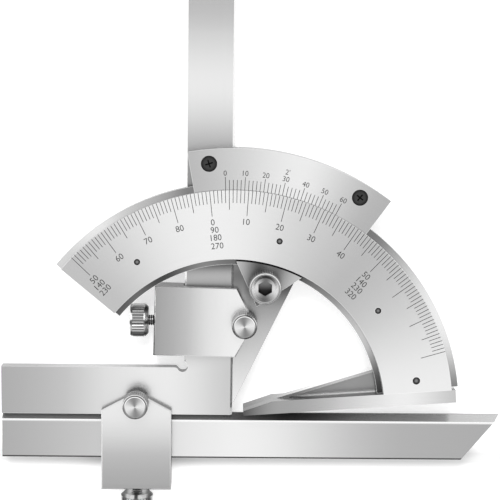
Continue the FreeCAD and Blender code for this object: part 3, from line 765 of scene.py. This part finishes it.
def dress_knobs():
    """The knurled heads: four that stand, and two that lie at the blocks' tails."""
    # Painted highlights and shade: rings lit on the upper half, knurls dark in their valleys
    lock_rings = ((2.97, 246, 150), (3.24, 80, 105), (3.5, 240, 105))
    brake_rings = ((3.9, 215, 195), (4.14, 105, 125), (4.3, 245, 170), (4.55, 150, 135))
    lock_side, brake_side, adjust_side = (24, 118), (45, 165), (60, 200)
    # Turn of the dark wedges, the wedges' two levels, the rings, and the knurl's two levels: painted
    # reflections, highlights and shade
    standing = {
        "upper_lock_knob": (-10, 132, 228, lock_rings, lock_side),
        "lower_lock_knob": (-8, 136, 228, lock_rings, lock_side),
        "brake_knob": (5, 118, 246, brake_rings, brake_side),
        "adjust_knob": (0, 140, 230, (), adjust_side),
    }
    for node, settings in standing.items():
        dress(node, knob_metal(node, *settings))
    dress("upper_side_knob", side_knob_metal("upper_side_knob", X, keeps=0.72))
    dress("lower_side_knob", side_knob_metal("lower_side_knob", Y, keeps=0.9))


def dress_pins_and_screws():
    """The blackened pins and screws."""
    gear_pins = [polar(GEAR_PIN_PLACE_R, deg) for deg in GEAR_PIN_DEGS]
    dress("gear_pins", pin_metal("gear_pins_steel", gear_pins, GEAR_PIN_R))
    base_pin = middle("base_pin")
    base_pin_r = base_pin.x - corners("base_pin")[0].x
    dress("base_pin", pin_metal("base_pin_steel", [base_pin], base_pin_r))
    screws = [polar(SCREW_PLACE_R, deg) for deg in SCREW_DEGS]
    dress("vernier_screws", screw_metal("vernier_screws_black", screws))
    for node in ("base_screws", "knob_set_screw"):
        dress(node, plain_metal(node + "_black", BLACKENED, rough=0.37, metallic=0.6))


def dress_inner_parts():
    """The gear and pinion, and the brass bush and pads."""
    for node in ("sector_gear", "pinion_shaft"):
        dress(node, plain_metal(node + "_steel", GEAR_STEEL, rough=0.4))
    for node in ("pinion_bush", "upper_pressure_pad", "lower_pressure_pad"):
        dress(node, plain_metal(node + "_brass", BRASS, rough=0.35))


def dress_nodes():
    """Materials of all the CAD nodes."""
    dress_ring()
    dress_vernier()
    dress_blade()
    dress_square()
    # Walls painted dark as shade, shared by the base rule and the sector plate
    mid_walls = by("x", (-80, 120), (0, 130), (80, 120))
    dress_base_rule(mid_walls)
    dress_sector_plate(mid_walls)
    dress_brake()
    dress_clamp_blocks()
    dress_knobs()
    dress_pins_and_screws()
    dress_inner_parts()


def add_bar(target, start, end, width):
    """A thin filled line lying in the face, from one point to another."""
    run = (end - start).normalized()
    side = Vector((-run.y, run.x, 0)) * (width / 2)
    outline = [start + side, start - side, end - side, end + side]
    low = [target.verts.new((p.x * MM, p.y * MM, (FACE_Z - INK_DEPTH) * MM)) for p in outline]
    top = [target.verts.new((p.x * MM, p.y * MM, (FACE_Z + INK_HEIGHT) * MM)) for p in outline]
    target.faces.new(top)
    target.faces.new(list(reversed(low)))
    for i in range(4):
        j = (i + 1) % 4
        target.faces.new((low[i], low[j], top[j], top[i]))


def figure_mesh(text, height):
    """One label, its lower left corner at the origin, in millimetres and 1 thick."""
    curve = bpy.data.curves.new("label", "FONT")
    curve.body = text
    curve.size = 1.0
    curve.extrude = 0.5
    curve.resolution_u = 3
    holder = bpy.data.objects.new("label", curve)
    bpy.context.scene.collection.objects.link(holder)
    bpy.context.view_layer.update()
    mesh = bpy.data.meshes.new_from_object(holder.evaluated_get(bpy.context.evaluated_depsgraph_get()))
    bpy.data.objects.remove(holder)
    left = min(v.co.x for v in mesh.vertices)
    low = min(v.co.y for v in mesh.vertices)
    scale = height / (max(v.co.y for v in mesh.vertices) - low)
    for vertex in mesh.vertices:
        x, y, z = vertex.co
        vertex.co = ((x - left) * scale * FIGURE_SQUEEZE, (y - low) * scale, z)
    return mesh


def add_label(target, rows, deg, radii, height, lined_up=0.0):
    """Rows of figures at an angle: lined_up runs from rows centred to rows that start together."""
    meshes = [figure_mesh(text, height) for text in rows]
    widths = [max(v.co.x for v in mesh.vertices) for mesh in meshes]
    turn = Matrix.Rotation(-math.radians(deg), 4, "Z")
    thin = Matrix.Diagonal((1, 1, INK_HEIGHT + INK_DEPTH, 1))
    ink_centre = FACE_Z + (INK_HEIGHT - INK_DEPTH) / 2
    for mesh, width, radius in zip(meshes, widths, radii):
        line = width + (widths[0] - width) * lined_up
        corner = Vector((-line / 2, radius - height / 2, ink_centre))
        mesh.transform(Matrix.Scale(MM, 4) @ turn @ Matrix.Translation(corner) @ thin)
        target.from_mesh(mesh)
        bpy.data.meshes.remove(mesh)


def finish_piece(name, work, material, body):
    """Turn a mesh in the making into a piece of the object."""
    mesh = bpy.data.meshes.new(name)
    work.to_mesh(mesh)
    work.free()
    mesh.materials.append(material)
    piece = bpy.data.objects.new(name, mesh)
    bpy.context.scene.collection.objects.link(piece)
    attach(piece, body)


def tick_length(degree):
    """Length of a line on the ring: the fives and tens are longer."""
    if degree % 10 == 0:
        return TEN_TICK
    if degree % 5 == 0:
        return FIVE_TICK
    return DEGREE_TICK


def add_main_graduations(material):
    """Degree lines and figures on the ring. Each row of figures is one of the four ranges."""
    work = bmesh.new()
    for degree in range(FIRST_DEGREE, LAST_DEGREE + 1):
        deg = degree + DIAL_ZERO_DEG
        end = polar(FACE_OUTER_R - tick_length(degree), deg)
        add_bar(work, polar(FACE_OUTER_R, deg), end, TICK_WIDTH)
    for degree in range(FIRST_DEGREE, LAST_FIGURE_DEGREE + 1, 10):
        count, lined_up = FIGURE_COLUMNS.get(degree, (1, 0.0))
        rows = [str(degree % 90 + 90 * i) for i in range(count)]
        add_label(work, rows, degree + DIAL_ZERO_DEG, FIGURE_ROWS, FIGURE_HEIGHT, lined_up)
    finish_piece("main_graduations", work, material, "dial")


def add_vernier_graduations(material):
    """Minute lines and figures on the vernier plate."""
    work = bmesh.new()
    step = VERNIER_SPAN_DEG / VERNIER_DIVISIONS
    for i in range(VERNIER_DIVISIONS + 1):
        deg = VERNIER_ZERO_DEG + i * step
        length = VERNIER_LONG_TICK if i % 5 == 0 else VERNIER_TICK
        add_bar(work, polar(VERNIER_INNER_R, deg), polar(VERNIER_INNER_R + length, deg), TICK_WIDTH)
        if i % 5 == 0:
            add_label(work, (str(2 * i),), deg, (VERNIER_FIGURE_R,), VERNIER_FIGURE_HEIGHT)
    middle_deg = VERNIER_ZERO_DEG + VERNIER_SPAN_DEG / 2
    add_label(work, ("2'",), middle_deg, (MINUTE_MARK_R,), VERNIER_FIGURE_HEIGHT)
    finish_piece("vernier_graduations", work, material, "sector")


def lathe_point(lying, centre, along, radius, turn):
    """A point in metres at a radius round an axis that lies along X or Y through a centre."""
    place = Vector(centre)
    place[lying] = along
    place[level_across(lying)] += radius * math.cos(turn)
    place[Z] += radius * math.sin(turn)
    return place * MM


def add_thread(name, body, knob, lying, block_end):
    """Thread crests round the neck between a clamp block's end and its side knob."""
    centre = middle(knob)
    start = block_end - NECK_GAP
    half_pitch = NECK_LENGTH / (2 * NECK_CRESTS)
    turns = [math.tau * i / NECK_SIDES for i in range(NECK_SIDES)]
    work = bmesh.new()
    loops = []
    for i in range(2 * NECK_CRESTS + 1):
        radius = NECK_CREST_R if i % 2 else NECK_ROOT_R
        points = [lathe_point(lying, centre, start - i * half_pitch, radius, turn) for turn in turns]
        loops.append([work.verts.new(point) for point in points])
    for low, high in zip(loops, loops[1:]):
        for i in range(NECK_SIDES):
            j = (i + 1) % NECK_SIDES
            work.faces.new((low[i], low[j], high[j], high[i]))
    work.faces.new(loops[0])
    work.faces.new(loops[-1])
    bmesh.ops.recalc_face_normals(work, faces=work.faces)
    finish_piece(name, work, plain_metal(name + "_steel", THREAD_STEEL, rough=0.35), body)


def place_camera():
    """Stand the camera where the photograph was taken from."""
    toward = Vector((
        -math.sin(CAMERA_YAW) * math.cos(CAMERA_PITCH),
        math.sin(CAMERA_PITCH),
        math.cos(CAMERA_YAW) * math.cos(CAMERA_PITCH),
    ))
    level_right = Vector((0, 1, 0)).cross(toward).normalized()
    level_up = toward.cross(level_right)
    right = level_right * math.cos(CAMERA_ROLL) + level_up * math.sin(CAMERA_ROLL)
    up = level_up * math.cos(CAMERA_ROLL) - level_right * math.sin(CAMERA_ROLL)
    data = bpy.data.cameras.new("camera")
    data.sensor_width = SENSOR_WIDTH
    data.lens = FOCAL_PIXELS * SENSOR_WIDTH / IMAGE_PIXELS
    data.clip_end = CAMERA_SIGHT * MM
    camera = bpy.data.objects.new("camera", data)
    spot = toward * CAMERA_DISTANCE + right * CAMERA_RIGHT + up * CAMERA_UP + Vector((0, 0, FACE_Z))
    camera.matrix_world = Matrix.Translation(spot * MM) @ Matrix((right, up, toward)).transposed().to_4x4()
    bpy.context.scene.collection.objects.link(camera)
    bpy.context.scene.camera = camera


def floor_material():
    """Pale and dull, with a glow that only a look at the floor sees, and clear from below."""
    nodes = Nodes("floor_white")
    nodes.shader.inputs["Base Color"].default_value = (FLOOR_SHADE, FLOOR_SHADE, FLOOR_SHADE, 1)
    nodes.shader.inputs["Roughness"].default_value = FLOOR_ROUGHNESS
    nodes.shader.inputs["Specular IOR Level"].default_value = 0.0
    rays = nodes.add("ShaderNodeLightPath").outputs
    seen = nodes.math("MAXIMUM", rays["Is Camera Ray"], rays["Is Glossy Ray"])
    seen = nodes.math("MAXIMUM", seen, rays["Is Transmission Ray"])
    from_strip = nodes.math("ABSOLUTE", nodes.math("SUBTRACT", place_of(nodes)[Y], DULL_STRIP_Y))
    glow = nodes.math("MULTIPLY", nodes.share(from_strip, DULL_STRIP_HALF, DULL_STRIP_FADE), FLOOR_GLOW)
    nodes.shader.inputs["Emission Color"].default_value = (1, 1, 1, 1)
    nodes.put(nodes.shader.inputs["Emission Strength"], nodes.math("MULTIPLY", seen, glow))
    nodes.let_through_from_below()
    return nodes.material


def make_floor():
    """A pale floor that keeps the shadow and goes to white where the light reaches it."""
    reach = FLOOR_REACH * MM
    outline = [(-reach, -reach, 0), (reach, -reach, 0), (reach, reach, 0), (-reach, reach, 0)]
    mesh = bpy.data.meshes.new("floor")
    mesh.from_pydata(outline, [], [(0, 1, 2, 3)])
    mesh.materials.append(floor_material())
    floor = bpy.data.objects.new("floor", mesh)
    bpy.context.scene.collection.objects.link(floor)


def make_world():
    """Soft studio light: brightest overhead, and dimmer towards the horizon and below it."""
    world = bpy.data.worlds.new("studio")
    bpy.context.scene.world = world
    world.use_nodes = True
    tree = world.node_tree
    back = tree.nodes["Background"]
    place = tree.nodes.new("ShaderNodeTexCoord")
    split = tree.nodes.new("ShaderNodeSeparateXYZ")
    tree.links.new(place.outputs["Generated"], split.inputs[0])
    ramp = tree.nodes.new("ShaderNodeValToRGB")
    ramp.color_ramp.interpolation = "EASE"
    for element, (upward, strength) in zip(ramp.color_ramp.elements, (HORIZON, OVERHEAD)):
        element.position = upward
        element.color = (strength, strength, strength, 1)
    tree.links.new(split.outputs[Z], ramp.inputs[0])
    tree.links.new(ramp.outputs[0], back.inputs["Color"])
    back.inputs["Strength"].default_value = 1.0


def add_lamp(name, place, target, size, watts):
    """A square soft lamp."""
    data = bpy.data.lights.new(name, "AREA")
    data.size = size * MM
    data.energy = watts
    lamp = bpy.data.objects.new(name, data)
    lamp.location = Vector(place) * MM
    lamp.rotation_euler = (Vector(target) - Vector(place)).to_track_quat("-Z", "Y").to_euler()
    bpy.context.scene.collection.objects.link(lamp)


dress_nodes()
ink = ink_filler()
add_main_graduations(ink)
add_vernier_graduations(ink)
add_thread("upper_thread", "upper_side_screw", "upper_side_knob", X, BLOCK_LEFT_X)
add_thread("lower_thread", "lower_side_screw", "lower_side_knob", Y, BLOCK_LOW_Y)
place_camera()
make_floor()
make_world()
add_lamp("key", KEY_PLACE, KEY_TARGET, KEY_SIZE, KEY_WATTS)
bpy.context.scene.view_settings.view_transform = "Standard"
